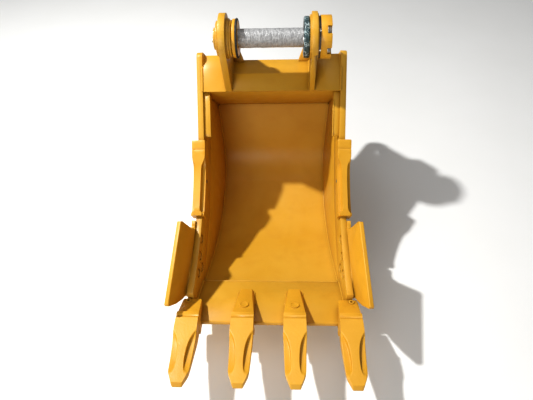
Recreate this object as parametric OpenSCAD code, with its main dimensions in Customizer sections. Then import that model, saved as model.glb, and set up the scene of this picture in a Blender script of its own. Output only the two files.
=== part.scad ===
// Excavator bucket, four teeth, with two mounting ears, one stick pin and a side-play adjuster.
// X runs across the bucket, the teeth point towards -Y and +Z is up. The bucket rests rocked back
// on its wear strips, with the origin below the middle of its bounding box.

/* [Shell] */
// Half of the inside width at the mouth
mouth_half_w = 287; // [270:1:300]
// How far each side plate leans in towards the back, in degrees
toe_angle = 4.6; // [3:0.1:6]
// Thickness of the floor and heel plates
shell_t = 16; // [12:1:20]
// Thickness of the side plates
side_t = 16; // [12:1:18]
// Thickness of the side bars
bar_t = 24; // [20:1:28]
// Width of the side bars, measured back from their front edge
bar_w = 115; // [100:1:120]
// Thickness of the lip plate
lip_t = 30; // [26:1:34]

/* [Torque tube and ears] */
// Thickness of the torque tube's plates
tube_t = 12; // [10:1:14]
// Radius of the ear around the stick bore
stick_head_r = 91; // [86:1:92]
// Radius of the ear around the link bore
link_head_r = 76; // [70:1:78]
// Outer faces of the stick gap, left and right
left_ear_x = -187; // [-190:1:-185]
// Inner face of the right ear plate
right_ear_x = 158; // [156:1:160]
// Thickness of the left ear plate
left_ear_t = 25; // [22:1:26]
// Thickness of the right ear plate
right_ear_t = 20; // [18:1:20]

/* [Pins and bushings] */
// Radius of the pins
pin_r = 35.5; // [35:0.5:36]
// Radial running clearance of a pin in its bushing
pin_gap = 0.06; // [0.03:0.01:0.09]
// Outer radius of the pressed bushings
bush_r = 48; // [44:1:50]
// Outer radius of the adjuster sleeve
sleeve_r = 57.95; // [56:0.05:58]

/* [Teeth] */
// Distance from the middle to the inner teeth
inner_tooth_x = 93; // [90:1:96]
// Distance from the middle to the corner teeth
corner_tooth_x = 290; // [285:1:292]
// Width of a tooth at its box
tooth_w = 80; // [76:1:82]
// Clearance between an adapter nose and the socket of its tip
nose_gap = 0.8; // [0.5:0.1:1.5]

/* [Side cutters] */
// Thickness of a side cutter
cutter_t = 14; // [12:1:18]
// Distance that the blade stands in front of the side bar
blade_reach = 130; // [110:1:140]
// Thickness of the blade in front of the side bar
blade_t = 16; // [14:1:18]
// Flare of the blade, in degrees
blade_flare = 7.5; // [4:0.5:9]
// How far the blade turns inwards towards its upper end, in degrees
blade_turn = 2; // [0:0.1:3]

/* [Hidden] */
$fn = 96;
eps = 0.01;
// Direction of the mouth line in Y and Z, which the side plates turn about.
mouth_dir = [0, 0.695, 0.719];

// Front edge of the side bars: an arc and then a straight.
edge_centre = [-372.5, 903.7];
edge_r = 977.5;
edge_start = 22.4;
edge_end = 60;
edge_top = 374;
corner_r = 25;
bar_foot_z = -60;
bar_foot_angle = 28.1;

// Inside profile of the shell: flat floor, long arc, heel arc, upright back.
floor_z = -75;
floor_start_y = 141;
long_r = 640;
long_angle = 40;
heel_r = 216;
long_centre = [335, floor_z + long_r];
heel_centre = long_centre + (long_r - heel_r) * [sin(long_angle), -cos(long_angle)];
back_y = heel_centre[0] + heel_r;

// Wear strips under the floor.
strip_t = 14;
strip_front_y = 160;
strip_gap = 0.02;
strip_end_angle = 37.5;
foot_half = 6.5;

// Lip plate.
lip_front_y = -69;
lip_bevel_y = 7;
lip_top_z = bar_foot_z;
lip_edge_drop = 14;

// Torque tube: its lower front lip, and the roof plate's underside at the back.
tube_lip = [572, 592];
roof_back = [back_y + shell_t, 445];
centre_front = [610, 655];
centre_top = [700, 690];
outer_front = [620, 672];
outer_top = [690, 713];
tube_back = [839, 478];
roof_t = 14;

// Pin centres in Y and Z.
stick_pin_c = [526, 810];
link_pin_c = [835, 615];

// Stations along X, from left to right.
boss_l_x = -200;
cap_x = -211;
inner_boss_l_x = -143;
thrust_x = -127;
oring_l_x = -118.5;
seal_r_x = 128;
inner_boss_r_x = 150.5;
outer_boss_r_x = 182;
shim_x = 190;
hub_x = 230;
pin_end_x = 205;
sleeve_end_x = 212;
link_bush_out = 196;
link_bush_in = 150;
bush_bore_r = pin_r + pin_gap;

// Adjuster bolts.
adj_bolt_circle_r = 68;
adj_bolt_r = 8;
adj_angles = [30, 150, 210, 330];

// Teeth, in drawing Y and Z.
tooth_xs = [-corner_tooth_x, -inner_tooth_x, inner_tooth_x, corner_tooth_x];
tip_back_y = -107;
tip_end_y = -323;
tip_top_z = -12;
tip_end_z = -80;
tip_bottom_z = -100;
tooth_pin_c = [-146, -58];
tooth_pin_r = 9;
nose_end_y = -232;
lower_strap_z = -106;
plug_c = [-15, -24];
plug_r = 10;

// Side cutter: its lower base corner, heading and length along the bar.
cutter_base = [-44, -56];
cutter_heading = 35.9;
cutter_low_u = 62;
cutter_high_u = 365;
blade_high_u = 317;
cutter_bolts = [[158, -34], [228, -33], [298, -32], [192, -74]];
root_back_v = -13;
root_z = 8;
recess_depth = 13;
recess_r = 19;
cutter_bolt_r = 10;

// Sidebar protector: the stretch of the side bar's edge that it covers.
guard_from = 41;
guard_to = 60;
guard_w = 54;
guard_mid = 17;

// The drawing has its origin at the lower end of the side bars' front edge and its floor plate
// level. At rest it is rocked back until its weight is over the line where the strips touch.
rest_tilt = 17.8;
strip_r = long_r + shell_t + strip_t;
function rocked(c) = [c[0] * cos(rest_tilt) + c[1] * sin(rest_tilt),
                      c[1] * cos(rest_tilt) - c[0] * sin(rest_tilt)];
front_y = rocked([tip_end_y - 6, tip_end_z - 17])[0];
rear_y = rocked(link_pin_c)[0] + link_head_r;
drawing_shift = [0, -(front_y + rear_y) / 2, strip_r * cos(foot_half) - rocked(long_centre)[1]];

// ---------- helpers ----------

// Points of an arc; the angle is measured from straight down, positive towards +Y.
function arc(c, r, a0, a1, steps = 16) =
    [for (i = [0:steps]) let (a = a0 + (a1 - a0) * i / steps) c + r * [sin(a), -cos(a)]];

function unit(v) = v / norm(v);
function left_of(v) = [-v[1], v[0]];

// A polyline moved sideways by t, to its left, with mitred corners.
function moved(p, t) = [for (i = [0:len(p) - 1])
    let (a = left_of(unit(i == 0 ? p[1] - p[0] : p[i] - p[i - 1])),
         b = left_of(unit(i == len(p) - 1 ? p[i] - p[i - 1] : p[i + 1] - p[i])))
    p[i] + t * (a + b) / (1 + a * b)];

function reversed(p) = [for (i = [len(p) - 1:-1:0]) p[i]];

// Outline of a plate of thickness t that follows a polyline, on its left.
function plate(p, t) = concat(p, reversed(moved(p, t)));

// Moves the drawing's coordinates to the part's own frame.
module placed() translate(drawing_shift) rotate([-rest_tilt, 0, 0]) children();

// A flat plate between two stations along X, from an outline in Y and Z.
module slab(x0, x1)
    translate([x0, 0, 0]) rotate([90, 0, 90]) linear_extrude(x1 - x0) children();

// A round bar along X between two stations, centred on a point in Y and Z.
module bar_x(c, r, x0, x1) translate([x0, c[0], c[1]]) rotate([0, 90, 0]) cylinder(x1 - x0, r, r);

module ring_x(c, r, hole_r, x0, x1) difference() {
    bar_x(c, r, x0, x1);
    bar_x(c, hole_r, x0 - 1, x1 + 1);
}

// Shapes drawn for the right side, with X outwards from the side plate's inner face.
module right_side() translate([mouth_half_w, 0, 0]) rotate(a = toe_angle, v = mouth_dir) children();

module on_side(side) mirror([side < 0 ? 1 : 0, 0, 0]) right_side() children();

// The space between the two side plates.
module between_sides() intersection() {
    for_side(1);
    for_side(-1);
}

module for_side(side) on_side(side) translate([-1200, -1500, -1500]) cube([1200, 3500, 3500]);

// Two circles joined by their outer tangents, in two dimensions.
module belt(c1, r1, c2, r2) {
    d = norm(c2 - c1);
    u = (c2 - c1) / d;
    n = left_of(u);
    s = (r1 - r2) / d;
    c = sqrt(1 - s * s);
    translate(c1) circle(r1);
    translate(c2) circle(r2);
    polygon([c1 + r1 * (s * u + c * n), c2 + r2 * (s * u + c * n),
             c2 + r2 * (s * u - c * n), c1 + r1 * (s * u - c * n)]);
}

// ---------- shell ----------

// Straight upper end of a side bar, at a distance d behind its front edge.
function bar_end(d) = edge_centre + (edge_r + d) * [sin(edge_end), -cos(edge_end)]
    + edge_top * [cos(edge_end), sin(edge_end)];

// Centre of the rounding on the upper front corner.
function bar_corner() = bar_end(corner_r) - corner_r * [cos(edge_end), sin(edge_end)];

module bar_outline() polygon(concat(
    [[0, bar_foot_z]],
    arc(edge_centre, edge_r, edge_start, edge_end, 20),
    arc(bar_corner(), corner_r, 180 + edge_end, 90 + edge_end, 6),
    [bar_end(bar_w)],
    arc(edge_centre, edge_r + bar_w, edge_end, bar_foot_angle, 20)));

function floor_line() = concat([[floor_start_y, floor_z]], arc(long_centre, long_r, 0, long_angle));
function heel_line() = arc(heel_centre, heel_r, long_angle, 90);

module lip_plate() color("goldenrod") placed()
    slab(-mouth_half_w - bar_t, mouth_half_w + bar_t) polygon([
        [floor_start_y, lip_top_z], [lip_bevel_y, lip_top_z],
        [lip_front_y + 4, lip_top_z - lip_edge_drop], [lip_front_y, lip_top_z - lip_edge_drop - 4],
        [lip_front_y, lip_top_z - lip_t], [floor_start_y, lip_top_z - lip_t]]);

module floor_plate() color("goldenrod") placed() intersection() {
    slab(-300, 300) polygon(plate(floor_line(), -shell_t));
    between_sides();
}

module heel_plate() color("goldenrod") placed() intersection() {
    slab(-300, 300) polygon(concat(heel_line(),
        [[back_y, roof_z(back_y, 0)], [back_y + shell_t, roof_z(back_y + shell_t, 0)]],
        reversed(moved(heel_line(), -shell_t))));
    between_sides();
}

// The roof plate starts behind the torque tube's front plate.
function roof_front() = tube_lip + tube_t * unit(roof_back - tube_lip);

module roof_plate() color("goldenrod") placed() intersection() {
    slab(-300, 300) polygon(plate([roof_front(), roof_back], roof_t));
    between_sides();
}

// Height at a given Y of the roof plate's underside, or of a face at a distance t above it.
function roof_z(y, t) = let (p = moved([tube_lip, roof_back], t))
    p[0][1] + (y - p[0][0]) * (p[1][1] - p[0][1]) / (p[1][0] - p[0][0]);

module above_roof() difference() {
    children();
    front = roof_front();
    slab(-400, 400) polygon([front, [front[0], roof_z(front[0], roof_t)],
        [1000, roof_z(1000, roof_t)], [1000, 200], [front[0], 200]]);
}

// Outline of the torque tube's plates from the front lip over the top and down the back.
function tube_line(bend, top) = [tube_lip, bend, top, tube_back, [tube_back[0], 400]];

// Outline of a stretch of those plates, from one bend to another, mitred at both.
function tube_stretch(bend, top, from, to) =
    let (out = tube_line(bend, top), inn = moved(out, -tube_t))
    concat([for (i = [from:to]) out[i]], [for (i = [to:-1:from]) inn[i]]);

// A bent panel of the torque tube, standing on the roof plate.
module tube_panel(x0, x1, bend, top) intersection() {
    above_roof() slab(x0, x1) polygon(tube_stretch(bend, top, 0, 2));
    between_sides();
}

module tube_centre() color("goldenrod") placed()
    tube_panel(left_ear_x + left_ear_t, right_ear_x, centre_front, centre_top);

module tube_outer_left() color("goldenrod") placed()
    tube_panel(-300, left_ear_x, outer_front, outer_top);

module tube_outer_right() color("goldenrod") placed()
    tube_panel(right_ear_x + right_ear_t, 300, outer_front, outer_top);

// The sloping rear panels between the side plates and the ears.
module tube_rear() color("goldenrod") placed() {
    rear_panel(left_ear_x + left_ear_t, right_ear_x, centre_front, centre_top);
    rear_panel(-300, left_ear_x, outer_front, outer_top);
    rear_panel(right_ear_x + right_ear_t, 300, outer_front, outer_top);
}

module rear_panel(x0, x1, bend, top) intersection() {
    above_roof() slab(x0, x1) polygon(tube_stretch(bend, top, 2, 4));
    between_sides();
}

module side_plate_outline() difference() {
    polygon(concat(
        [[floor_start_y, bar_foot_z], [floor_start_y, floor_z - shell_t]],
        arc(long_centre, long_r + shell_t, 0, long_angle),
        arc(heel_centre, heel_r + shell_t, long_angle, 90),
        [[back_y + shell_t, 500], [757, 690], [500, 500]]));
    polygon(concat([[-200, bar_foot_z - 1], [-200, 800], [700, 850], bar_end(bar_w)],
        arc(edge_centre, edge_r + bar_w, edge_end, bar_foot_angle, 20)));
}

// The room that the lip plate takes, which the leaning side plates and bars are cut clear of.
module lip_space() slab(-400, 400)
    polygon([[-200, lip_top_z], [floor_start_y, lip_top_z], [floor_start_y, -200], [-200, -200]]);

module side_plate(side) color("goldenrod") placed() difference() {
    on_side(side) slab(0, side_t) side_plate_outline();
    lip_space();
}
module side_plate_left() side_plate(-1);
module side_plate_right() side_plate(1);

module side_bar(side) color("goldenrod") placed() difference() {
    on_side(side) difference() {
        slab(0, bar_t) bar_outline();
        cutter_bolt_holes();
        nut_recesses();
        protector_pin_hole();
    }
    lip_space();
}
module side_bar_left() side_bar(-1);
module side_bar_right() side_bar(1);

// A flat bar inside each top corner, from the roof plate down the side bar.
module corner_gusset(side) color("goldenrod") placed() on_side(side) slab(-26, 0)
    polygon([[586, 583], [566, 552], [500, 437], [496, 420], [506, 418], [600, 560]]);
module corner_gusset_left() corner_gusset(-1);
module corner_gusset_right() corner_gusset(1);

// Wear bars along the floor, bent to it and flat where the bucket stands on them.
module wear_strips(xs) color("goldenrod") placed() for (x = xs) slab(x - 30, x + 30)
    polygon(concat(
        [[strip_front_y + 14, long_centre[1] - strip_r], [strip_front_y, floor_z - shell_t]],
        arc(long_centre, long_r + shell_t + strip_gap, 0, strip_end_angle, 15),
        reversed(arc(long_centre, strip_r, rest_tilt + foot_half, strip_end_angle, 5)),
        reversed(arc(long_centre, strip_r, 0, rest_tilt - foot_half, 5))));

module wear_strips_middle() wear_strips([-108, 0, 108]);
module wear_strips_outer() wear_strips([-216, 216]);

// Cast guards round the two lower rear corners.
module heel_guard(side) color("goldenrod") placed() on_side(side) slab(side_t, side_t + 14)
    polygon(concat(
        arc(long_centre, long_r + shell_t, 14, long_angle, 8),
        arc(heel_centre, heel_r + shell_t, long_angle, 76, 8),
        reversed(arc(heel_centre, heel_r - 70, long_angle, 70, 8)),
        reversed(arc(long_centre, long_r - 70, 16, long_angle, 8))));
module heel_guard_left() heel_guard(-1);
module heel_guard_right() heel_guard(1);

// ---------- ears ----------

module ear_outline() {
    belt(stick_pin_c, stick_head_r, link_pin_c, link_head_r);
    belt(stick_pin_c, stick_head_r, [579, 612], 22);
    belt(link_pin_c, link_head_r, [828, 480], 22);
    polygon([[579, 590], stick_pin_c, link_pin_c, [828, 458]]);
}

module ear(x0, x1, stick_hole_r) difference() {
    above_roof() slab(x0, x1) ear_outline();
    bar_x(stick_pin_c, stick_hole_r, x0 - 1, x1 + 1);
    bar_x(link_pin_c, bush_r, x0 - 1, x1 + 1);
}

module ear_left() color("goldenrod") placed() ear(left_ear_x, left_ear_x + left_ear_t, bush_r);

module ear_right() color("goldenrod") placed() difference() {
    ear(right_ear_x, right_ear_x + right_ear_t, sleeve_r + pin_gap);
    adjuster_bolt_shanks(0);
}

// A three-cornered stiffener between an ear's inner face and the top of the torque tube.
module ear_gusset(x_ear, dir) color("darkgoldenrod") placed() difference() {
    translate([x_ear, centre_top[0] - 1, 0]) rotate([90, 0, 0]) linear_extrude(14)
        polygon([[0, 640], [dir * 46, 640], [dir * 46, 684], [dir * 12, 772], [0, 772]]);
    slab(-400, 400) polygon([[500, 500], centre_front - [110, 110 * 35 / 90],
        centre_top, [centre_top[0], 500]]);
}
module ear_gusset_left() ear_gusset(left_ear_x + left_ear_t, 1);
module ear_gusset_right() ear_gusset(right_ear_x, -1);

// ---------- stick pin joint ----------

module stick_boss_left() color("goldenrod") placed() {
    ring_x(stick_pin_c, 64, bush_r, boss_l_x, left_ear_x);
    ring_x(stick_pin_c, 72, bush_r, left_ear_x + left_ear_t, -151);
    ring_x(stick_pin_c, 66, bush_r, -151, inner_boss_l_x);
}

module stick_boss_right() color("goldenrod") placed() difference() {
    union() {
        ring_x(stick_pin_c, 80, sleeve_r + pin_gap, inner_boss_r_x, right_ear_x);
        ring_x(stick_pin_c, 84, sleeve_r + pin_gap, right_ear_x + right_ear_t, outer_boss_r_x);
    }
    adjuster_bolt_shanks(0);
}

module link_boss_left() color("goldenrod") placed() {
    ring_x(link_pin_c, 68, bush_r, -link_bush_out, left_ear_x);
    ring_x(link_pin_c, 68, bush_r, left_ear_x + left_ear_t, -link_bush_in);
}

module link_boss_right() color("goldenrod") placed() {
    ring_x(link_pin_c, 68, bush_r, link_bush_in, right_ear_x);
    ring_x(link_pin_c, 68, bush_r, right_ear_x + right_ear_t, link_bush_out);
}

module stick_bushing() color("dimgray") placed()
    ring_x(stick_pin_c, bush_r, bush_bore_r, boss_l_x, inner_boss_l_x);

module link_bushing_left() color("dimgray") placed()
    ring_x(link_pin_c, bush_r, bush_bore_r, -link_bush_out, -link_bush_in);

module link_bushing_right() color("dimgray") placed()
    ring_x(link_pin_c, bush_r, bush_bore_r, link_bush_in, link_bush_out);

// Thrust ring: a neck against the boss, a flange and a spigot that carries the O-ring.
module thrust_ring() color("goldenrod") placed() difference() {
    union() {
        bar_x(stick_pin_c, 60, inner_boss_l_x, -138);
        bar_x(stick_pin_c, 70, -138, thrust_x);
        bar_x(stick_pin_c, 64, thrust_x, oring_l_x - 0.5);
    }
    bar_x(stick_pin_c, bush_bore_r, -150, -110);
}

// A seal of round section, or of a flat-sided section with round edges where it is wider.
module round_seal(x0, x1, inner_r, outer_r) {
    m = (outer_r - inner_r) / 2;
    flat = x1 - x0 - 2 * m;
    translate([x0, stick_pin_c[0], stick_pin_c[1]]) rotate([0, 90, 0]) rotate_extrude() {
        translate([inner_r + m, m]) circle(m);
        if (flat > 1) {
            translate([inner_r + m, m + flat]) circle(m);
            translate([inner_r, m]) square([2 * m, flat]);
        }
    }
}

module o_ring_left() color([0.05, 0.05, 0.05]) placed() round_seal(thrust_x, oring_l_x, 64, 72.5);

module seal_ring_right() color([0.05, 0.1, 0.1]) placed()
    round_seal(seal_r_x, inner_boss_r_x, 61.5, 75);

module adjuster_sleeve() color("dimgray") placed() difference() {
    union() {
        bar_x(stick_pin_c, 60, seal_r_x, inner_boss_r_x - 2);
        bar_x(stick_pin_c, sleeve_r, inner_boss_r_x - 2, sleeve_end_x);
    }
    bar_x(stick_pin_c, bush_bore_r, 120, 240);
}

module adjuster_shims() color("dimgray") placed() difference() {
    for (i = [0:3]) ring_x(stick_pin_c, 75, sleeve_r + 0.5,
        outer_boss_r_x + 2 * i, outer_boss_r_x + 2 * i + 2 - eps * (i < 3 ? 20 : 0));
    adjuster_bolt_shanks(0.5);
}

module adjuster_hub() color("goldenrod") placed() difference() {
    union() {
        ring_x(stick_pin_c, 78, sleeve_r + 0.5, shim_x, hub_x - 6);
        ring_x(stick_pin_c, 78, 46, hub_x - 6, hub_x);
    }
    adjuster_bolt_shanks(0.5);
    for (a = adj_angles) at_adjuster_bolt(a) translate([0, 0, 214]) {
        cylinder(40, 14.5, 14.5);
        translate([0, -14.5, 0]) cube([30, 29, 40]);
    }
}

// Places a shape on the adjuster's bolt circle, with its Z along the bolt and X outwards.
module at_adjuster_bolt(a) translate([0, stick_pin_c[0], stick_pin_c[1]]) rotate([a - 180, 0, 0])
    rotate([90, 0, 90]) translate([adj_bolt_circle_r, 0, 0]) children();

module adjuster_bolt_shanks(extra) for (a = adj_angles) at_adjuster_bolt(a)
    translate([0, 0, 140]) cylinder(90, adj_bolt_r + extra, adj_bolt_r + extra);

module adjuster_bolts() color("silver") placed() for (a = adj_angles) at_adjuster_bolt(a) {
    translate([0, 0, 162]) cylinder(53, adj_bolt_r, adj_bolt_r);
    translate([0, 0, 214]) cylinder(2, 13, 13);
    translate([0, 0, 215]) cylinder(10, 12, 12, $fn = 6);
}

module stick_pin() color("silver") placed() difference() {
    union() {
        bar_x(stick_pin_c, pin_r, boss_l_x, pin_end_x - 5);
        translate([pin_end_x - 5, stick_pin_c[0], stick_pin_c[1]]) rotate([0, 90, 0])
            cylinder(5, pin_r, pin_r - 4);
    }
    cap_screw_holes();
    bar_x(stick_pin_c, 4, boss_l_x - 1, -60);
}

module pin_cap() color("goldenrod") placed() difference() {
    bar_x(stick_pin_c, 40, cap_x, boss_l_x);
    cap_screw_holes();
    bar_x(stick_pin_c, 5, cap_x - 1, boss_l_x + 1);
}

// Places a shape at each cap screw, pointing out to the left.
module at_cap_screws() for (a = [90:120:330])
    translate([boss_l_x, stick_pin_c[0], stick_pin_c[1]]) rotate([a, 0, 0])
        translate([0, 0, 24]) rotate([0, -90, 0]) children();

module cap_screw_holes() at_cap_screws() translate([0, 0, -30]) cylinder(50, 5, 5);

module pin_cap_screws() color("dimgray") placed() at_cap_screws() {
    translate([0, 0, -30]) cylinder(30 + boss_l_x - cap_x, 5, 5);
    translate([0, 0, boss_l_x - cap_x]) difference() {
        cylinder(6, 8, 8);
        translate([0, 0, 3]) cylinder(4, 4.6, 4.6, $fn = 6);
    }
}

module grease_fitting() color("silver") placed() translate([cap_x, stick_pin_c[0], stick_pin_c[1]])
    rotate([0, -90, 0]) {
        translate([0, 0, -20]) cylinder(20, 4, 4);
        cylinder(4, 6, 6, $fn = 6);
        translate([0, 0, 4]) cylinder(4, 3, 3);
        translate([0, 0, 8]) sphere(3.2);
    }

// ---------- teeth ----------

// Plan outline of the nose that enters the tip's socket, grown by g.
module nose(g) intersection() {
    slab(-tooth_w / 2 + 12 - g, tooth_w / 2 - 12 + g) polygon([
        [tip_back_y + 3, -24 + g], [nose_end_y - g, -65 + g], [nose_end_y - g, -84 - g],
        [tip_back_y + 3, -90 - g]]);
    translate([0, 0, -150]) linear_extrude(200) polygon([
        [-28 - g, tip_back_y + 4], [28 + g, tip_back_y + 4],
        [17 + g, nose_end_y - g], [-17 - g, nose_end_y - g]]);
}

module ring_boss(outer_r, inner_r, h) difference() {
    cylinder(h, outer_r, outer_r);
    translate([0, 0, -1]) cylinder(h + 2, inner_r, inner_r);
}

// Adapter: a nose, a box and two straps that straddle the lip, the top one ending at strap_back_y.
module adapter(x, strap_back_y, back_half_w) color("goldenrod") placed() translate([x, 0, 0]) difference() {
    union() {
        nose(0);
        intersection() {
            slab(-tooth_w / 2, tooth_w / 2) polygon([
                [tip_back_y + 1, tip_top_z - 1], [-99, -16], [-95, -9], [-84, -8], [-78, -15], [0, -27],
                [strap_back_y, strap_back_y > 0 ? -44 : -27], [strap_back_y, -112],
                [-30, -112], [-72, -104], [tip_back_y + 1, tip_bottom_z]]);
            translate([0, 0, -150]) linear_extrude(200) polygon([
                [-tooth_w / 2, tip_back_y + 1], [tooth_w / 2, tip_back_y + 1],
                [tooth_w / 2, -90], [tooth_w / 2 - 2, -75],
                [back_half_w, strap_back_y - 8], [back_half_w - 2, strap_back_y - 3],
                [back_half_w - 6, strap_back_y], [6 - back_half_w, strap_back_y],
                [2 - back_half_w, strap_back_y - 3], [-back_half_w, strap_back_y - 8],
                [2 - tooth_w / 2, -75], [-tooth_w / 2, -90]]);
        }
        if (strap_back_y > 0) translate([0, -36, -21.5]) rotate([-8.7, 0, 0]) {
            translate([0, 0, -4]) cylinder(7, 17, 17);
            ring_boss(17, 13, 4.2);
        }
    }
    lip_slot();
    below_back_strap(strap_back_y);
    if (strap_back_y > 0) strap_draft();
    translate([0, tooth_pin_c[0], tooth_pin_c[1]]) rotate([0, 90, 0])
        translate([0, 0, -60]) cylinder(120, tooth_pin_r + 0.3, tooth_pin_r + 0.3);
}

// Cuts the sloping sides of a long top strap, which narrows towards its end and its top.
module strap_draft() for (s = [0, 1]) mirror([s, 0, 0])
    translate([38, -75, -15]) rotate([0, 0, 11.5]) rotate([0, -25, 0])
        translate([0, 0, -60]) cube([60, 200, 120]);

// The slot that takes the lip plate, with the lip's bevelled front.
module lip_slot() slab(-60, 60) polygon([
    [200, lip_top_z], [lip_bevel_y, lip_top_z],
    [lip_front_y + 4, lip_top_z - lip_edge_drop], [lip_front_y, lip_top_z - lip_edge_drop - 4],
    [lip_front_y, lip_top_z - lip_t], [200, lip_top_z - lip_t]]);

// Keeps the lower strap short and above the ground.
module below_back_strap(strap_back_y) {
    if (strap_back_y > 20)
        translate([-60, 20, -200]) cube([120, 200, 200 + lip_top_z - 1]);
    translate([-60, -200, -300]) cube([120, 500, 300 + lower_strap_z]);
}

module corner_adapter(x) difference() {
    adapter(x, -0.5, 35);
    placed() translate([plug_x(x), plug_c[0], plug_c[1] - 24]) cylinder(60, plug_r + 0.3, plug_r + 0.3);
}

// The screwed plug in the top of a corner adapter stands a little outside its middle.
function plug_x(x) = x + sign(x) * 13;

module adapter_1() color("goldenrod") corner_adapter(tooth_xs[0]);
module adapter_2() adapter(tooth_xs[1], 74, 31);
module adapter_3() adapter(tooth_xs[2], 74, 31);
module adapter_4() color("goldenrod") corner_adapter(tooth_xs[3]);

module corner_plugs() color("dimgray") placed() for (x = [tooth_xs[0], tooth_xs[3]])
    translate([plug_x(x), plug_c[0], plug_c[1]]) difference() {
        translate([0, 0, -24]) cylinder(28, plug_r, plug_r);
        translate([0, 0, -4]) cylinder(20, 5.5, 5.5, $fn = 6);
    }

module tip(x) color("gold") placed() translate([x, 0, 0]) difference() {
    intersection() {
        slab(-60, 60) polygon([
            [tip_back_y, tip_top_z], [tip_end_y, tip_end_z], [tip_end_y - 6, tip_end_z - 17],
            [tip_end_y, tip_bottom_z], [tip_back_y, tip_bottom_z]]);
        translate([0, 0, -150]) linear_extrude(200) polygon([
            [-tooth_w / 2, tip_back_y], [tooth_w / 2, tip_back_y], [41, -150], [39, -175],
            [34, -296], [18, tip_end_y - 8], [-18, tip_end_y - 8], [-34, -296],
            [-39, -175], [-41, -150]]);
    }
    nose(nose_gap);
    for (s = [-1, 1]) translate([s * 41, -175, -16]) rotate([90 + 17.5, 0, s * 1])
        cylinder(110, 20, 24);
    translate([0, tooth_pin_c[0], tooth_pin_c[1]]) rotate([0, 90, 0])
        translate([0, 0, -60]) cylinder(120, tooth_pin_r + 0.3, tooth_pin_r + 0.3);
}
module tip_1() tip(tooth_xs[0]);
module tip_2() tip(tooth_xs[1]);
module tip_3() tip(tooth_xs[2]);
module tip_4() tip(tooth_xs[3]);

module tooth_pins() color("dimgray") placed() for (x = tooth_xs)
    bar_x(tooth_pin_c, tooth_pin_r, x - 38, x + 38);

module tooth_pin_retainers() color("dimgray") placed() for (x = tooth_xs)
    ring_x(tooth_pin_c, tooth_pin_r + 0.28, tooth_pin_r, x - 26, x - 20);

// ---------- side cutters ----------

// Moves to a side cutter's own plane: X along the bar, Y in front of it, Z outwards.
module in_cutter() translate([bar_t, cutter_base[0], cutter_base[1]])
    multmatrix([[0, 0, 1, 0],
                [cos(cutter_heading), -sin(cutter_heading), 0, 0],
                [sin(cutter_heading), cos(cutter_heading), 0, 0]]) children();

module cutter_bolt_holes() in_cutter() for (b = cutter_bolts) translate([b[0], b[1], -60])
    cylinder(120, cutter_bolt_r, cutter_bolt_r);

// Round recesses in the side bar's inner face, which hold the nuts.
module nut_recesses() in_cutter() for (b = cutter_bolts) translate([b[0], b[1], -bar_t - 10])
    cylinder(recess_depth + 10, recess_r, recess_r);

// Base plate on the side bar and a blade that flares outwards in front of it.
module side_cutter(side) color("gold") placed() difference() {
    on_side(side) difference() {
        in_cutter() {
            linear_extrude(cutter_t) polygon([
                [cutter_low_u, 5], [cutter_low_u + 6, -62], [140, -98], [220, -98],
                [cutter_high_u - 30, -56], [cutter_high_u, -30], [cutter_high_u, 5]]);
            translate([cutter_low_u, root_back_v, 0])
                cube([blade_high_u + 20 - cutter_low_u, 5 - root_back_v, 19]);
            difference() {
                translate([0, 5, root_z]) rotate([blade_flare, blade_turn, 0]) blade();
                translate([-100, -200, -60]) cube([700, 205, 60]);
            }
        }
        cutter_bolt_holes();
        in_cutter() translate([blade_high_u + 22, 17, -50]) cylinder(140, 14, 14);
    }
    corner_adapter_space();
}

module blade() intersection() {
    rotate([90, 0, 90]) linear_extrude(420) polygon([
        [root_back_v, 0], [blade_reach, 0], [blade_reach + 2, 2], [blade_reach + 2, blade_t - 2],
        [blade_reach, blade_t], [root_back_v, blade_t]]);
    translate([0, 0, -5]) linear_extrude(blade_t + 10) polygon([
        [cutter_low_u, root_back_v], [blade_high_u + 20, root_back_v], [blade_high_u + 20, 8],
        [blade_high_u + 3, 30], [blade_high_u + 1, blade_reach - 10],
        [blade_high_u - 6, blade_reach + 5], [8, blade_reach + 5], [1, blade_reach - 8], [20, 70],
        [44, 26], [cutter_low_u, 5]]);
}

// The room over a corner adapter and the lip, which the side cutters are cut clear of.
module corner_adapter_space() slab(-500, 500) polygon([
    [-300, -6], [-80, -6], [-62, -10], [0, -21], [1, -21], [1, lip_top_z], [floor_start_y, lip_top_z],
    [floor_start_y, -300], [-300, -300]]);

module side_cutter_left() side_cutter(-1);
module side_cutter_right() side_cutter(1);

module cutter_bolts(side) color("dimgray") placed() on_side(side) in_cutter()
    for (b = cutter_bolts) translate([b[0], b[1], 0]) {
        translate([0, 0, -bar_t + 1]) cylinder(bar_t - 1 + cutter_t, cutter_bolt_r, cutter_bolt_r);
        translate([0, 0, cutter_t]) cylinder(6, 19, 15);
        translate([0, 0, cutter_t + 6]) cylinder(5, 15, 10);
    }
module cutter_bolts_left() cutter_bolts(-1);
module cutter_bolts_right() cutter_bolts(1);

module cutter_nuts(side) color("dimgray") placed() on_side(side) in_cutter()
    for (b = cutter_bolts) translate([b[0], b[1], recess_depth - bar_t]) difference() {
        union() {
            translate([0, 0, -11]) cylinder(9, 15, 15, $fn = 6);
            translate([0, 0, -2]) cylinder(2, 18, 18);
        }
        translate([0, 0, -20]) cylinder(30, cutter_bolt_r + 0.02, cutter_bolt_r + 0.02);
    }
module cutter_nuts_left() cutter_nuts(-1);
module cutter_nuts_right() cutter_nuts(1);

// ---------- sidebar protectors ----------

// Outline of a stretch along the side bar's edge, from d0 to d1 in front of it to behind it.
function along_edge(d0, d1, a0, a1) = concat(
    arc(edge_centre, edge_r + d0, a0, a1, 8), reversed(arc(edge_centre, edge_r + d1, a0, a1, 8)));

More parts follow.
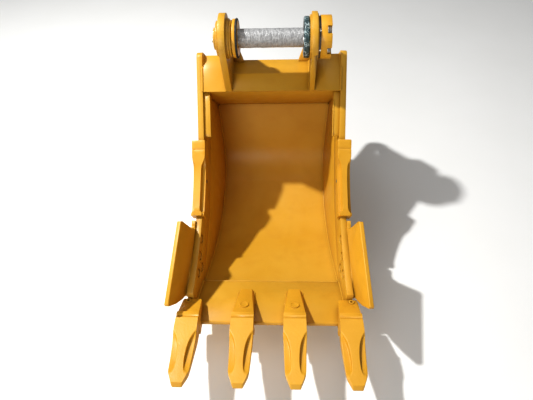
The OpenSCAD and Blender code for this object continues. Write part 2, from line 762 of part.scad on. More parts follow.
module protector(side) color("gold") placed() on_side(side) {
    mid = guard_mid;
    difference() {
        union() {
            slab(mid - guard_w / 2, mid + guard_w / 2) polygon(along_edge(-9, 30, guard_from, 57.6));
            slab(mid - 11, mid + 11) polygon(along_edge(-24, 0, guard_from + 0.5, 57.6));
            slab(mid - guard_w / 2, mid + guard_w / 2) polygon(along_edge(-26, 30, 57.6, guard_to));
        }
        slab(-0.4, bar_t + 0.4) polygon(along_edge(-0.5, 60, guard_from - 2, guard_to + 2));
        protector_pin_hole();
    }
}
module protector_left() protector(-1);
module protector_right() protector(1);

function guard_pin_at() = edge_centre + (edge_r + 16) * [sin(50), -cos(50)];

module protector_pin_hole() bar_x(guard_pin_at(), 7, -60, 80);

module protector_pins() color("dimgray") placed() for (side = [-1, 1]) on_side(side)
    bar_x(guard_pin_at(), 7, guard_mid - guard_w / 2, guard_mid + guard_w / 2);

// ---------- nodes ----------

lip_plate();
floor_plate();
heel_plate();
roof_plate();
tube_centre();
tube_outer_left();
tube_outer_right();
tube_rear();
side_plate_left();
side_plate_right();
side_bar_left();
side_bar_right();
corner_gusset_left();
corner_gusset_right();
wear_strips_middle();
wear_strips_outer();
heel_guard_left();
heel_guard_right();
ear_left();
ear_right();
ear_gusset_left();
ear_gusset_right();
stick_boss_left();
stick_boss_right();
link_boss_left();
link_boss_right();
stick_bushing();
link_bushing_left();
link_bushing_right();
thrust_ring();
o_ring_left();
seal_ring_right();
adjuster_sleeve();
adjuster_shims();
adjuster_hub();
adjuster_bolts();
stick_pin();
pin_cap();
pin_cap_screws();
grease_fitting();
adapter_1();
adapter_2();
adapter_3();
adapter_4();
tip_1();
tip_2();
tip_3();
tip_4();
tooth_pins();
tooth_pin_retainers();
corner_plugs();
side_cutter_left();
side_cutter_right();
cutter_bolts_left();
cutter_bolts_right();
cutter_nuts_left();
cutter_nuts_right();
protector_left();
protector_right();
protector_pins();
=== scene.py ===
"""Looks of the excavator bucket: materials, cast teeth and protectors, weld beads, pin and pale studio."""
import math

import bmesh
import bpy
from mathutils import Matrix, Vector, noise


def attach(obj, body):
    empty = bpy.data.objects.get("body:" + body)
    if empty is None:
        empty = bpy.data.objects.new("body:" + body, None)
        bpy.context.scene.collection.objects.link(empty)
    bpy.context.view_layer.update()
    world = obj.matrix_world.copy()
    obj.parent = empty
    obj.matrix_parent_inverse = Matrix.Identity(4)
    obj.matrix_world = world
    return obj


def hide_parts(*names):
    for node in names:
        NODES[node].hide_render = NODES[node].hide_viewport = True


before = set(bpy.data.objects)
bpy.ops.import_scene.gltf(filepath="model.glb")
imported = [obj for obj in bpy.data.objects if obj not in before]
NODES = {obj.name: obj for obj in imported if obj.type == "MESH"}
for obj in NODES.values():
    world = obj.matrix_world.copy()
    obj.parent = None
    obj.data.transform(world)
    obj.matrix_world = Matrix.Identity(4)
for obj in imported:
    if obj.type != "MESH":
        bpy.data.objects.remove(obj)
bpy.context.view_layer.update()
SIDES = {"left": -1, "right": 1}

# ---------- the drawing's coordinates ----------
# Shapes are drawn as in the CAD source: millimetres, floor plate level, origin at the lower end of the
# side bars' front edge. At rest the drawing is rocked back by REST_TILT and stands on its wear strips.
REST_TILT = math.radians(17.8)
MOUTH_HALF_W = 287
TOE = math.radians(4.6)
BAR_T, BAR_W, SIDE_T, SHELL_T = 24, 115, 16, 16
MOUTH_DIR = Vector((0, 0.695, 0.719)).normalized()
DEPTH_DIR = Vector((0.719, -0.695))
FLOOR_Z, FLOOR_START, LIP_TOP = -75, 141, -60
LONG_R, LONG_ANGLE, HEEL_R = 640, 40, 216
LONG_C = Vector((335, FLOOR_Z + LONG_R))
STRIP_R, FOOT_HALF = 670, math.radians(6.5)
EDGE_C, EDGE_R = Vector((-372.5, 903.7)), 977.5
STICK_PIN, LINK_PIN, LINK_HEAD_R = Vector((526, 810)), Vector((835, 615)), 76
TIP_END_CORNER = Vector((-329, -97))
EAR_X = {"left": (-187, -162), "right": (158, 178)}
TOOTH_X = (-290, -93, 93, 290)
WEAR_STRIP_X, WEAR_STRIP_HALF = (-216, -108, 0, 108, 216), 30.5
HEEL_GUARD_W = 70
SHARP = math.radians(32)


def direction(angle):
    """A unit vector in Y and Z; the angle is measured from straight down, in degrees."""
    a = math.radians(angle)
    return Vector((math.sin(a), -math.cos(a)))


def rocked(point):
    c, s = math.cos(REST_TILT), math.sin(REST_TILT)
    return Vector((point[0] * c + point[1] * s, point[1] * c - point[0] * s))


HEEL_C = LONG_C + (LONG_R - HEEL_R) * direction(LONG_ANGLE)
BACK_Y = HEEL_C[0] + HEEL_R
SHIFT = Vector((
    -(rocked(TIP_END_CORNER)[0] + rocked(LINK_PIN)[0] + LINK_HEAD_R) / 2,
    STRIP_R * math.cos(FOOT_HALF) - rocked(LONG_C)[1],
))


def place(x, y, z):
    """A point of the drawing, in millimetres, as a point of the row frame in metres."""
    yz = rocked((y, z)) + SHIFT
    return Vector((x, yz[0], yz[1])) / 1000


def on_side(side, x, y, z):
    """A point drawn on a side plate, with x measured outwards from its inner face."""
    turn = Matrix.Rotation(TOE, 3, MOUTH_DIR)
    p = turn @ Vector((x, y, z)) + Vector((MOUTH_HALF_W, 0, 0))
    return Vector((p.x * side, p.y, p.z))


def arc(centre, radius, a0, a1, steps=16):
    return [centre + radius * direction(a0 + (a1 - a0) * i / steps) for i in range(steps + 1)]


# ---------- meshes ----------
def finish_mesh(name, bm, body, material, smooth=True):
    """Turns a bmesh in drawing millimetres into an object that rides on a body."""
    for v in bm.verts:
        v.co = place(*v.co)
    bmesh.ops.recalc_face_normals(bm, faces=bm.faces)
    mesh = bpy.data.meshes.new(name)
    bm.to_mesh(mesh)
    bm.free()
    for p in mesh.polygons:
        p.use_smooth = smooth
    obj = bpy.data.objects.new(name, mesh)
    bpy.context.scene.collection.objects.link(obj)
    obj.data.materials.append(material)
    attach(obj, body)
    return obj


def loft(bm, rings, closed_ends=True):
    """Bridges rings of equal length into a tube, with flat ends."""
    loops = [[bm.verts.new(p) for p in ring] for ring in rings]
    for a, b in zip(loops, loops[1:]):
        n = len(a)
        for i in range(n):
            bm.faces.new((a[i], a[(i + 1) % n], b[(i + 1) % n], b[i]))
    if closed_ends:
        bm.faces.new(loops[0][::-1])
        bm.faces.new(loops[-1])
    return loops


def resampled(points, step):
    """Points a fixed distance apart along a polyline."""
    out, carry = [points[0].copy()], 0.0
    for a, b in zip(points, points[1:]):
        length = (b - a).length
        d = step - carry
        while d < length:
            out.append(a.lerp(b, d / length))
            d += step
        carry = length - (d - step)
    out.append(points[-1].copy())
    return out


def bead_rings(points, radius, sides=8, step=2.2, pitch=6.5):
    """Rings of a weld bead: a tube whose radius steps back at each ripple."""
    line = resampled(points, step)
    rings = []
    for i, p in enumerate(line):
        ahead = line[min(i + 1, len(line) - 1)]
        behind = line[max(i - 1, 0)]
        along = (ahead - behind).normalized()
        side = along.cross(Vector((0.31, 0.52, 0.79))).normalized()
        up = along.cross(side)
        ripple = (i * step % pitch) / pitch
        wander = 0.25 * noise.noise(p * 0.06)
        r = radius * (0.84 + 0.2 * ripple ** 0.6 + wander * 0.4)
        if i in (0, len(line) - 1):
            r *= 0.4
        rings.append([p + r * (math.cos(t) * side + math.sin(t) * up)
                      for t in (2 * math.pi * k / sides for k in range(sides))])
    return rings


def weld(name, lines, radius=4.5):
    """One object holding the weld beads along several lines."""
    bm = bmesh.new()
    for line in lines:
        loft(bm, bead_rings([Vector(p) for p in line], radius))
    return finish_mesh(name, bm, "bucket", PAINT_WELD)


# ---------- materials ----------
class Shader:
    """A Principled material built node by node, patterned in object coordinates."""

    def __init__(self, name, roughness=0.45, metallic=0.0, coat=0.0, coat_roughness=0.2, specular=0.5):
        self.mat = bpy.data.materials.new(name)
        self.mat.use_nodes = True
        self.tree = self.mat.node_tree
        self.bsdf = self.tree.nodes["Principled BSDF"]
        for socket, value in (("Roughness", roughness), ("Metallic", metallic), ("Coat Weight", coat),
                              ("Coat Roughness", coat_roughness), ("Specular IOR Level", specular)):
            self.bsdf.inputs[socket].default_value = value
        self.coords = self.tree.nodes.new("ShaderNodeTexCoord").outputs["Object"]

    def node(self, kind, inputs=None, **settings):
        n = self.tree.nodes.new(kind)
        for key, value in settings.items():
            setattr(n, key, value)
        for key, value in (inputs or {}).items():
            if isinstance(value, bpy.types.NodeSocket):
                self.tree.links.new(value, n.inputs[key])
            else:
                n.inputs[key].default_value = value
        return n

    def stretched(self, scale):
        return self.node("ShaderNodeMapping", {"Vector": self.coords, "Scale": scale}).outputs["Vector"]

    def noise(self, scale, detail=3.0, rough=0.5, vector=None, distortion=0.0):
        return self.node("ShaderNodeTexNoise", {
            "Vector": vector or self.coords, "Scale": scale, "Detail": detail,
            "Roughness": rough, "Distortion": distortion}).outputs["Fac"]

    def cells(self, scale, vector=None, feature="F1"):
        return self.node("ShaderNodeTexVoronoi", {"Vector": vector or self.coords, "Scale": scale},
                         feature=feature).outputs["Distance"]

    def spread(self, value, low, high, to_low=0.0, to_high=1.0):
        return self.node("ShaderNodeMapRange", {
            "Value": value, "From Min": low, "From Max": high,
            "To Min": to_low, "To Max": to_high}).outputs["Result"]

    def math(self, operation, a, b):
        return self.node("ShaderNodeMath", {0: a, 1: b}, operation=operation).outputs[0]

    def mix(self, factor, a, b):
        n = self.node("ShaderNodeMix", data_type="RGBA")
        for key, value in ((0, factor), (6, a), (7, b)):
            if isinstance(value, bpy.types.NodeSocket):
                self.tree.links.new(value, n.inputs[key])
            else:
                n.inputs[key].default_value = value if key == 0 else (*value, 1.0)
        return n.outputs[2]

    def edges(self, radius, noise_scale=60.0):
        """1 on convex edges and 0 on flat faces, broken up by noise; paint uses it for painted edge
        highlights.
        """
        soft = self.node("ShaderNodeBevel", {"Radius": radius}, samples=4).outputs["Normal"]
        hard = self.node("ShaderNodeNewGeometry").outputs["Normal"]
        dot = self.node("ShaderNodeVectorMath", {0: soft, 1: hard}, operation="DOT_PRODUCT")
        mask = self.spread(dot.outputs["Value"], 0.985, 0.86)
        return self.math("MULTIPLY", mask, self.spread(self.noise(noise_scale, 4.0), 0.35, 0.62))

    def corners(self, distance):
        """1 deep in corners and recesses: the mask for painted shade there."""
        ao = self.node("ShaderNodeAmbientOcclusion", {"Distance": distance}, samples=6).outputs["AO"]
        return self.spread(ao, 0.85, 0.35)

    def colour(self, socket):
        self.tree.links.new(socket, self.bsdf.inputs["Base Color"])

    def roughness(self, socket):
        self.tree.links.new(socket, self.bsdf.inputs["Roughness"])

    def bump(self, layers):
        """Stacks bump layers given as (height, strength, distance in metres)."""
        normal = None
        for height, strength, distance in layers:
            inputs = {"Height": height, "Strength": strength, "Distance": distance}
            if normal:
                inputs["Normal"] = normal
            normal = self.node("ShaderNodeBump", inputs).outputs["Normal"]
        self.tree.links.new(normal, self.bsdf.inputs["Normal"])


def paint(name, base, shade, lit, cast=0.0, weld_grain=0.0, roughness=(0.36, 0.5)):
    """Sprayed enamel over plate, or over a casting where cast is above 0."""
    s = Shader(name, coat=0.1, coat_roughness=0.25, specular=0.32)
    cloud = s.spread(s.noise(5.0, 4.0), 0.3, 0.7)
    streak = s.noise(14.0, 5.0)
    colour = s.mix(cloud, base, lit)
    colour = s.mix(s.spread(streak, 0.5, 0.75, 0.0, 0.18), colour, shade)
    # Painted shade: darker still in corners and recesses, from ambient occlusion.
    colour = s.mix(s.math("MULTIPLY", s.corners(0.03), 0.55), colour, [0.55 * c for c in shade])
    # Painted highlight: convex edges lighter than the lit tone.
    colour = s.mix(s.math("MULTIPLY", s.edges(0.004), 0.4), colour, [min(1.0, 1.18 * c) for c in lit])
    specks = s.spread(s.cells(210.0), 0.1, 0.04)
    rare = s.spread(s.noise(38.0, 2.0), 0.62, 0.7)
    colour = s.mix(s.math("MULTIPLY", s.math("MULTIPLY", specks, rare), 0.55), colour, (0.16, 0.07, 0.02))
    s.colour(colour)
    s.roughness(s.spread(s.noise(30.0, 5.0), 0.3, 0.7, *roughness))
    layers = [(s.noise(420.0, 2.0), 0.10, 0.0006), (s.noise(16.0, 2.0), 0.08, 0.004)]
    if cast:
        layers.append((s.noise(150.0, 6.0, 0.65), cast, 0.0014))
    if weld_grain:
        layers.append((s.noise(320.0, 4.0, 0.7), weld_grain, 0.001))
    s.bump(layers)
    return s.mat


def steel(name, base, dark, roughness=(0.28, 0.5), grain=(1.0, 40.0, 40.0), rust=0.0):
    """Turned or ground steel with a directional grain and a little bloom of rust."""
    s = Shader(name, metallic=0.9)
    line = s.noise(28.0, 4.0, vector=s.stretched(grain))
    colour = s.mix(s.spread(line, 0.3, 0.7), base, dark)
    colour = s.mix(s.math("MULTIPLY", s.edges(0.003), 0.5), colour, [min(1.0, 1.5 * c) for c in base])
    if rust:
        bloom = s.spread(s.noise(45.0, 6.0, 0.7), 0.55, 0.7, 0.0, rust)
        colour = s.mix(bloom, colour, (0.17, 0.055, 0.018))
    s.colour(colour)
    s.roughness(s.spread(s.noise(60.0, 4.0), 0.3, 0.7, *roughness))
    s.bump([(line, 0.12, 0.0006), (s.noise(240.0, 3.0), 0.08, 0.0004)])
    return s.mat


def shipping_film():
    """Crinkled translucent film wound tightly round the pin, grey from the steel below."""
    s = Shader("pin_shipping_film", roughness=0.3, coat=0.5, coat_roughness=0.12, specular=0.6)
    wound = s.node("ShaderNodeMapping", {"Vector": s.coords, "Rotation": (0.0, 0.5, 0.35),
                                         "Scale": (2.2, 1.0, 1.0)}).outputs["Vector"]
    fold = s.spread(s.cells(34.0, wound, "DISTANCE_TO_EDGE"), 0.0, 0.18)
    crease = s.noise(70.0, 6.0, 0.7, wound, 1.6)
    colour = s.mix(s.spread(crease, 0.35, 0.68), (0.20, 0.20, 0.205), (0.38, 0.38, 0.385))
    colour = s.mix(s.spread(fold, 0.0, 1.0, 0.3, 0.0), colour, (0.62, 0.62, 0.62))
    s.colour(colour)
    s.roughness(s.spread(crease, 0.3, 0.7, 0.2, 0.5))
    s.bump([(fold, 0.5, 0.0015), (crease, 0.6, 0.003)])
    return s.mat


def rubber(name, base, film=0.0):
    """Black seal rubber, or rubber under a scrap of crinkled film where film is above 0."""
    s = Shader(name, roughness=0.6, specular=0.4, coat=film)
    bloom = s.spread(s.noise(80.0, 5.0), 0.4, 0.7)
    colour = s.mix(bloom, base, [2.4 * c + 0.01 for c in base])
    if film:
        glint = s.spread(s.cells(95.0, None, "DISTANCE_TO_EDGE"), 0.09, 0.02)
        patch = s.spread(s.noise(55.0, 4.0), 0.45, 0.6)
        colour = s.mix(s.math("MULTIPLY", glint, patch), colour, (0.55, 0.68, 0.70))
    s.colour(colour)
    s.roughness(s.spread(s.noise(140.0, 4.0), 0.3, 0.7, 0.35 if film else 0.5, 0.75))
    s.bump([(s.noise(260.0, 4.0), 0.3, 0.0006),
            (s.noise(60.0, 5.0, 0.7, None, 1.2), 0.7 if film else 0.1, 0.002)])
    return s.mat


GOLD = dict(base=(0.555, 0.286, 0.022), shade=(0.42, 0.175, 0.007), lit=(0.60, 0.332, 0.038))
PAINT_PLATE = paint("yellow_paint_plate", **GOLD)
PAINT_WELD = paint("yellow_paint_weld", **GOLD, weld_grain=0.5)
PAINT_CAST = paint("yellow_paint_casting", (0.60, 0.290, 0.018), (0.43, 0.185, 0.008),
                   (0.67, 0.345, 0.028), cast=0.45, roughness=(0.38, 0.55))
PAINT_TOOTH = paint("yellow_paint_tooth", (0.62, 0.305, 0.019), (0.46, 0.195, 0.009),
                    (0.68, 0.355, 0.030), cast=0.6, roughness=(0.36, 0.52))
STEEL_PIN = steel("pin_ground_steel", (0.52, 0.52, 0.51), (0.36, 0.36, 0.36), (0.2, 0.35))
STEEL_DARK = steel("bushing_steel", (0.20, 0.195, 0.19), (0.10, 0.095, 0.09), (0.35, 0.6), rust=0.5)
STEEL_BOLT = steel("bolt_zinc_steel", (0.62, 0.61, 0.57), (0.40, 0.39, 0.36), (0.25, 0.45),
                   (20.0, 20.0, 20.0))
FILM = shipping_film()
RUBBER = rubber("o_ring_rubber", (0.012, 0.013, 0.014))
RUBBER_FILM = rubber("seal_rubber_in_film", (0.008, 0.026, 0.030), film=0.5)

# ---------- CAD nodes ----------
CASTINGS = ("adapter_", "protector_", "side_cutter_", "heel_guard_", "adjuster_hub", "thrust_ring")
STEELS = {
    "stick_bushing": STEEL_DARK, "link_bushing_left": STEEL_DARK, "link_bushing_right": STEEL_DARK,
    "adjuster_sleeve": STEEL_DARK, "adjuster_shims": STEEL_DARK, "tooth_pins": STEEL_DARK,
    "tooth_pin_retainers": STEEL_DARK, "protector_pins": STEEL_DARK,
    "adjuster_bolts": STEEL_BOLT, "grease_fitting": STEEL_BOLT, "pin_cap_screws": STEEL_BOLT,
    "stick_pin": STEEL_PIN, "o_ring_left": RUBBER, "seal_ring_right": RUBBER_FILM,
}
EDGE_WIDTHS = (("adapter_", 0.004), ("side_cutter_", 0.0025), ("protector_", 0.003), ("heel_guard_", 0.003),
               ("side_plate_", 0.0014), ("side_bar_", 0.0025), ("ear_", 0.004), ("lip_", 0.002),
               ("tube_", 0.003))
# Plates that meet in one smooth surface, whose edges stay square.
SQUARE_EDGES = ("floor_plate", "heel_plate")
PLAIN_EDGE = 0.0008


def node_material(name):
    if name in STEELS:
        return STEELS[name]
    if name.startswith("tip_"):
        return PAINT_TOOTH
    return PAINT_CAST if name.startswith(CASTINGS) else PAINT_PLATE


def soften(obj, width):
    """Rounds an object's sharp edges a little."""
    edge = obj.modifiers.new("edges", "BEVEL")
    edge.width = width
    edge.segments = 2
    edge.limit_method = "ANGLE"
    edge.angle_limit = SHARP
    edge.harden_normals = True
    edge.use_clamp_overlap = True


def dress(name, obj):
    """Gives a CAD node its material, merged corners and softly rounded edges."""
    material = node_material(name)
    if not obj.material_slots:
        obj.data.materials.append(material)
    for slot in obj.material_slots:
        slot.material = material
    for p in obj.data.polygons:
        p.use_smooth = True
    merge = obj.modifiers.new("merge", "WELD")
    merge.merge_threshold = 0.00002
    if name in SQUARE_EDGES:
        split = obj.modifiers.new("edges", "EDGE_SPLIT")
        split.split_angle = SHARP
    else:
        soften(obj, next((w for prefix, w in EDGE_WIDTHS if name.startswith(prefix)), PLAIN_EDGE))


for node_name, node_object in NODES.items():
    dress(node_name, node_object)


# ---------- teeth ----------
def mirrored_ring(half):
    """A closed ring from its right half, whose first and last points lie on the middle plane."""
    return half + [Vector((-p.x, p.y, p.z)) for p in half[-2:0:-1]]


BOX_Y, BOX_TOP, BOX_LOW = -107, -12, -97
TIP_SLOPE = 68 / 216
CHISEL_Y, CHISEL_LEAN = -300, 5.0


def tip_ring(y, ridge_w, side_w, depth, hollow):
    """Cross-section of a tip: a ridge, flanks that are square (hollow 0) or fluted (1), a flat underside."""
    reach = BOX_Y - y
    top_z = BOX_TOP - reach * TIP_SLOPE
    low_z = BOX_LOW - 3 * min(1.0, reach / 120)
    ridge = Vector((ridge_w, y, top_z))
    corner = Vector((side_w, y, top_z))
    shoulder = Vector((side_w, y, top_z - depth))
    square = (ridge.lerp(corner, 0.5), corner, corner.lerp(shoulder, 0.5))
    fluted = (Vector((ridge_w + 1.2, y, top_z - 0.7 * depth)),
              Vector((ridge_w + 0.12 * (side_w - ridge_w), y, top_z - depth)),
              Vector((ridge_w + 0.58 * (side_w - ridge_w), y, top_z - 1.04 * depth)))
    flank = [p.lerp(q, hollow) for p, q in zip(square, fluted)]
    half = [Vector((0, y, top_z + 0.3)), Vector((0.6 * ridge_w, y, top_z)), ridge, *flank, shoulder,
            Vector((side_w, y, (shoulder.z + low_z) / 2)), Vector((side_w - 3, y, low_z)),
            Vector((0.5 * side_w, y, low_z)), Vector((0, y, low_z))]
    if y < CHISEL_Y:
        for p in half:
            p.y -= CHISEL_LEAN * (top_z - p.z) / (top_z - low_z)
    return mirrored_ring(half)


# Along a tip from its box to its cutting end: y, ridge half width, half width, flute depth, hollow.
TIP_STATIONS = (
    (-107.2, 37.5, 40, 2.5, 0.0), (-109, 38, 40, 2.5, 0.0), (-135, 38, 40.5, 2.5, 0.0),
    (-151, 38, 41, 2.5, 0.0), (-156, 36.5, 41, 4, 0.3), (-163, 32.5, 40.7, 8, 0.85),
    (-172, 27.5, 40.2, 11.5, 1.0), (-184, 22, 39.6, 14, 1.0), (-200, 17.5, 38.8, 15.5, 1.0),
    (-220, 14.5, 37.8, 15, 1.0), (-245, 13, 36.7, 13, 1.0), (-265, 13.4, 35.8, 9.5, 1.0),
    (-280, 15.5, 35, 5.5, 0.9), (-290, 18, 33.4, 3, 0.4), (-296, 19.5, 31, 2, 0.0),
    (-318, 18, 20.5, 2, 0.0), (-321.5, 17, 18.5, 2, 0.0),
)


def pocket_ring(y, half_w, top_z, low_z):
    """Cross-section of the hollow that takes the adapter's nose, with as many points as a tip's ring."""
    corners = [Vector((half_w, y, top_z)), Vector((half_w, y, low_z))]
    half = [Vector((0, y, top_z)), Vector((0.5 * half_w, y, top_z)), corners[0]]
    half += [corners[0].lerp(corners[1], t) for t in (0.17, 0.34, 0.51, 0.68, 0.85)]
    half += [corners[1], Vector((0.5 * half_w, y, low_z)), Vector((0, y, low_z))]
    return mirrored_ring(half)


def crease_rings(bm, loops, weights):
    """Sharpens whole rings, given as {ring: weight}, and returns the crease layer."""
    layer = bm.edges.layers.float.new("crease_edge")
    for index, weight in weights.items():
        loop = loops[index]
        for a, b in zip(loop, loop[1:] + loop[:1]):
            edge = bm.edges.get((a, b))
            if edge:
                edge[layer] = weight
    return layer


# Corners of a tip's right half that run its whole length as soft creases.
CREASED_CORNERS = {2: 0.8, 4: 0.6, 6: 0.8, 8: 0.6}


def build_tip(number, x):
    bm = bmesh.new()
    rings = [pocket_ring(-231, 17.5, -64.5, -84.5), pocket_ring(-107.2, 28.5, -23.5, -90)]
    rings += [tip_ring(*station) for station in TIP_STATIONS]
    loops = loft(bm, rings)
    layer = crease_rings(bm, loops, {0: 1.0, 1: 1.0, 2: 0.9, len(loops) - 1: 0.8})
    for loop, after in zip(loops[2:], loops[3:]):
        for index, weight in CREASED_CORNERS.items():
            for corner in (index, len(loop) - index):
                bm.edges.get((loop[corner], after[corner]))[layer] = weight
    bmesh.ops.translate(bm, verts=bm.verts, vec=(x, 0, 0))
    obj = finish_mesh(f"cast_tip_{number}", bm, "bucket", PAINT_TOOTH)
    smooth = obj.modifiers.new("smooth", "SUBSURF")
    smooth.levels = smooth.render_levels = 2
    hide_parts(f"tip_{number}")


for tooth_number, tooth_x in enumerate(TOOTH_X, 1):
    build_tip(tooth_number, tooth_x)

# ---------- sidebar protectors ----------
GUARD_MID, GUARD_BACK, GUARD_PLAY, GUARD_STEP = 17, -30, 0.4, 0.6
# Down a protector, by its angle along the edge: ridge half width, ridge height, flank height, half width.
GUARD_STATIONS = (
    (59.9, 25, 24, 23, 26), (59.6, 26, 26, 25, 27), (57.8, 26, 26, 25, 27), (57.6, 25, 24, 23, 26.4),
    (57.4, 26, 26, 25, 27), (55.6, 26, 26, 24, 27), (54.8, 22, 26, 18, 27), (54.2, 17, 25.5, 11, 26.6),
    (53.6, 13, 25, 7, 26.4), (52.6, 11, 24.5, 5, 26.2), (50.0, 10, 24, 4, 26), (46.0, 10, 24, 4, 26),
    (43.0, 10, 24, 4, 26), (42.2, 12, 24, 5, 26.2), (41.8, 19, 21, 12, 27), (41.4, 20, 20, 13, 27),
    (41.1, 18, 18, 11, 26),
)


def guard_ring(side, angle, ridge_w, height, flank_height, half_w):
    """Cross-section of a protector: a ridge with hollow flanks outside, and the side bar's slot inside."""
    flank = [(ridge_w + 1.5, height - 0.6 * (height - flank_height)),
             (ridge_w + 0.3 * (half_w - ridge_w), flank_height + 0.06 * (height - flank_height)),
             (ridge_w + 0.7 * (half_w - ridge_w), flank_height)]
    half = [(0.5 * ridge_w, height), (ridge_w, height), *flank, (half_w, flank_height),
            (half_w, 0), (half_w, GUARD_BACK)]
    outer = [(GUARD_MID + x, d) for x, d in half[::-1]] + [(GUARD_MID - x, d) for x, d in half]
    slot = [(-GUARD_PLAY, GUARD_BACK), (-GUARD_PLAY, 0.5), (BAR_T + GUARD_PLAY, 0.5),
            (BAR_T + GUARD_PLAY, GUARD_BACK)]
    ring = []
    for x, d in outer + slot:
        p = EDGE_C + (EDGE_R - d) * direction(angle)
        ring.append(on_side(side, x, *p))
    return ring


def build_protector(label, side):
    bm = bmesh.new()
    stations = []
    for a, b in zip(GUARD_STATIONS, GUARD_STATIONS[1:]):
        steps = max(1, round((a[0] - b[0]) / GUARD_STEP))
        stations += [[u + (v - u) * i / steps for u, v in zip(a, b)] for i in range(steps)]
    stations.append(GUARD_STATIONS[-1])
    loft(bm, [guard_ring(side, *station) for station in stations])
    obj = finish_mesh(f"cast_protector_{label}", bm, "bucket", PAINT_CAST)
    soften(obj, 0.0016)
    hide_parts(f"protector_{label}")


for side_label, side_sign in SIDES.items():
    build_protector(side_label, side_sign)


# ---------- lathed pieces ----------
def lathe(name, profile, centre, body, material, segments=64, wobble=None):
    """A turned piece about the X axis from (x, radius) pairs; wobble moves the radius at (x, angle)."""
    bm = bmesh.new()
    rings = []
    for x, r in profile:
        ring = []
        for k in range(segments):
            a = 2 * math.pi * k / segments
            radius = r + (wobble(x, a) if wobble else 0.0)
            ring.append(Vector((x, centre[0] + radius * math.sin(a), centre[1] + radius * math.cos(a))))
        rings.append(ring)
    loft(bm, rings)
    return finish_mesh(name, bm, body, material)


PIN_LEFT, PIN_RIGHT, PIN_R = -200, 205, 35.5
FILM_FROM, FILM_TO, FILM_TURN = -116, 126, 38


def film_wrinkle(x, angle):
    """Overlap steps and creases of about a millimetre, nearly all within the pin's own radius."""
    if not FILM_FROM < x < FILM_TO:
        return 0.0
    turn = (x - FILM_FROM) / FILM_TURN + angle / (2 * math.pi)
    step = (turn % 1.0) * 0.5
    p = Vector((x * 0.05, 2.2 * math.sin(angle), 2.2 * math.cos(angle)))
    return -0.85 + step + 0.7 * noise.noise(p + Vector((0, 0, 3.0)))


def build_pin():
    step = 2.0
    film_xs = [FILM_FROM - 0.5 + i * step for i in range(round((FILM_TO - FILM_FROM) / step) + 1)]
    profile = [(PIN_LEFT, PIN_R), (FILM_FROM - 3, PIN_R)] + [(x, PIN_R) for x in film_xs]
    profile += [(FILM_TO + 3, PIN_R), (PIN_RIGHT - 5, PIN_R), (PIN_RIGHT, PIN_R - 4)]
    obj = lathe("film_wrapped_pin", profile, STICK_PIN, "pin", FILM, 96, film_wrinkle)
    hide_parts("stick_pin")
    obj.data.materials.append(STEEL_PIN)
    film_start, film_end = FILM_FROM / 1000, FILM_TO / 1000
    for p in obj.data.polygons:
        if not film_start < p.center.x < film_end:
            p.material_index = 1


build_pin()

# ---------- weld beads ----------
TUBE_LIP = (572, 592)
TUBE_LINES = {"centre": [TUBE_LIP, (610, 655), (700, 690)], "outer": [TUBE_LIP, (620, 672), (690, 713)]}


def along_x(y, z, x0, x1):
    return [(x0, y, z), (x1, y, z)]


def inner_half_width(y, z):
    """Where the side plate's inner face is at a point of the drawing."""
    depth = Vector((y, z)).dot(DEPTH_DIR)
    return MOUTH_HALF_W - math.tan(TOE) * depth


def shell_seam(side):
    """The corner between a side plate and the floor and heel plates."""
    points = [Vector((FLOOR_START, FLOOR_Z))] + arc(LONG_C, LONG_R, 0, LONG_ANGLE)
    points += arc(HEEL_C, HEEL_R, LONG_ANGLE, 90)[1:] + [Vector((BACK_Y, 452))]
    return [(side * inner_half_width(*p), p[0], p[1]) for p in points]


def side_line(side, x, points):
    return [on_side(side, x, y, z) for y, z in points]


def ring_line(x, centre, radius, a0=0, a1=360, steps=60):
    return [(x, *p) for p in arc(centre, radius, a0, a1, steps)]


def bar_back_line(a0, a1):
    """Along the back edge of a side bar, where it laps the side plate."""
    return arc(EDGE_C, EDGE_R + BAR_W, a0, a1, 12)


def heel_guard_line():
    return (arc(LONG_C, LONG_R - HEEL_GUARD_W, 16, LONG_ANGLE, 8)
            + arc(HEEL_C, HEEL_R - HEEL_GUARD_W, LONG_ANGLE, 70, 8)[1:])


def strip_line(x):
    return [(x, *p) for p in arc(LONG_C, LONG_R + SHELL_T + 1, 1, 37, 16)]


def shell_welds():
    for label, side in SIDES.items():
        weld(f"weld_shell_{label}", [shell_seam(side)], 5.0)
        weld(f"weld_lip_{label}", [side_line(side, 0, [(3, LIP_TOP), (139, LIP_TOP)]),
                                   side_line(side, BAR_T, [(3, LIP_TOP), (139, LIP_TOP)])], 4.5)
        weld(f"weld_tube_{label}", [side_line(side, 0, TUBE_LINES["outer"])], 4.5)
        weld(f"weld_side_bar_{label}", [side_line(side, BAR_T, bar_back_line(30, 58))], 4.0)
        weld(f"weld_heel_guard_{label}", [side_line(side, SIDE_T, heel_guard_line())], 4.5)
        weld(f"weld_corner_gusset_{label}", [side_line(side, -26, [(566, 552), (500, 437), (496, 420)])], 3.0)
    half = inner_half_width(FLOOR_START, FLOOR_Z) - 4
    weld("weld_floor_seam", [along_x(FLOOR_START + 4, FLOOR_Z + 2, -half, half)], 5.0)
    weld("weld_lip_edge", [along_x(FLOOR_START - 2, LIP_TOP - 0.4, -half, half)], 2.4)
    for number, x in enumerate(WEAR_STRIP_X, 1):
        edges = [strip_line(x - WEAR_STRIP_HALF), strip_line(x + WEAR_STRIP_HALF)]
        weld(f"weld_wear_strip_{number}", edges, 3.5)
    half = inner_half_width(BACK_Y, 454) - 4
    weld("weld_roof_seam", [along_x(BACK_Y - 2, 453, -half, half)], 5.0)


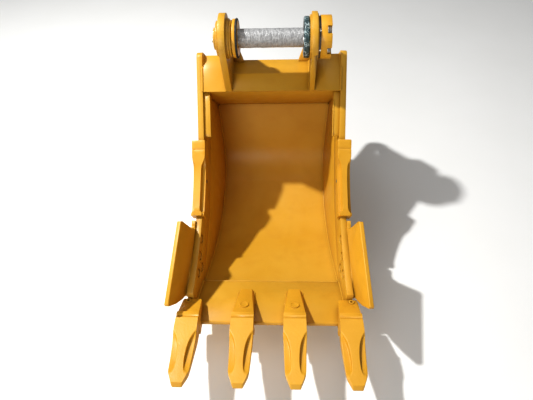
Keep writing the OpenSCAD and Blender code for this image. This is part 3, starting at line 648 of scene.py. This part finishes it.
def ear_welds():
    for label, (x0, x1) in EAR_X.items():
        inner, outer = (x1, x0) if label == "left" else (x0, x1)
        weld(f"weld_ear_{label}", [[(inner, *p) for p in TUBE_LINES["centre"]],
                                   [(outer, *p) for p in TUBE_LINES["outer"]]], 4.5)
    for label, radii, bead in (("left", (64, 72), 3.0), ("right", (80, 84), 2.5)):
        lines = [ring_line(x, STICK_PIN, radius) for x, radius in zip(EAR_X[label], radii)]
        weld(f"weld_boss_{label}", lines, bead)
    weld("weld_link_bosses", [ring_line(x, LINK_PIN, 68) for x in (*EAR_X["left"], *EAR_X["right"])], 3.0)


def adapter_welds():
    """Round the straps of the two middle adapters, on the lip's top."""
    strap = ((-35, 5), (-31.5, 67), (-25, 76), (25, 76), (31.5, 67), (35, 5))
    for number in (2, 3):
        x = TOOTH_X[number - 1]
        weld(f"weld_adapter_{number}", [[(x + dx, y, LIP_TOP) for dx, y in strap]], 4.5)


shell_welds()
ear_welds()
adapter_welds()


# ---------- studio ----------
def build_floor():
    s = Shader("studio_floor", roughness=0.7, specular=0.3)
    grain = s.noise(3.0, 3.0)
    s.colour(s.mix(grain, (0.86, 0.86, 0.85), (0.90, 0.90, 0.90)))
    s.bump([(s.noise(60.0, 3.0), 0.04, 0.001)])
    bpy.ops.mesh.primitive_plane_add(size=40)
    floor = bpy.context.active_object
    floor.name = "studio_floor"
    floor.data.materials.append(s.mat)


def area_light(name, position, target, size, power, colour=(1, 1, 1)):
    data = bpy.data.lights.new(name, "AREA")
    data.shape = "DISK"
    data.size, data.energy, data.color = size, power, colour
    lamp = bpy.data.objects.new(name, data)
    bpy.context.scene.collection.objects.link(lamp)
    lamp.location = position
    lamp.rotation_euler = (Vector(target) - Vector(position)).to_track_quat("-Z", "Y").to_euler()


def build_lights():
    """A small hard key like the photo's sun, high on the left, with two large soft fills."""
    middle = Vector((0.05, -0.25, 0.1))
    key_from, key_distance = Vector((-0.502, 0.148, 0.852)), 4.5
    area_light("key", middle + key_distance * key_from, middle, 0.18, 238, (1.0, 1.0, 0.98))
    area_light("overhead", (0.2, 0.6, 4.2), (0.2, 0.0, 0.0), 3.0, 24)
    area_light("front", (-1.3, -3.5, 1.9), middle, 2.0, 76, (1.0, 0.97, 0.92))
    world = bpy.data.worlds.new("studio")
    world.use_nodes = True
    world.node_tree.nodes["Background"].inputs["Color"].default_value = (1, 1, 1, 1)
    world.node_tree.nodes["Background"].inputs["Strength"].default_value = 0.2
    bpy.context.scene.world = world
    view = bpy.context.scene.view_settings
    view.view_transform, view.look, view.exposure = "Standard", "Medium High Contrast", -0.3


def build_camera():
    """The photograph's view: from in front and above, turned a little to the left."""
    focal_px, frame_px, sensor = 430, 533, 36
    data = bpy.data.cameras.new("camera")
    data.sensor_width = sensor
    data.lens = focal_px / frame_px * sensor
    camera = bpy.data.objects.new("camera", data)
    bpy.context.scene.collection.objects.link(camera)
    pitch_on_drawing, turn_left = math.radians(31), math.radians(2.62)
    camera.matrix_world = (Matrix.Translation(place(62.5, -1190, 1123))
                           @ Matrix.Rotation(math.pi / 2 - pitch_on_drawing - REST_TILT, 4, "X")
                           @ Matrix.Rotation(turn_left, 4, "Y"))
    bpy.context.scene.camera = camera


build_floor()
build_lights()
build_camera()
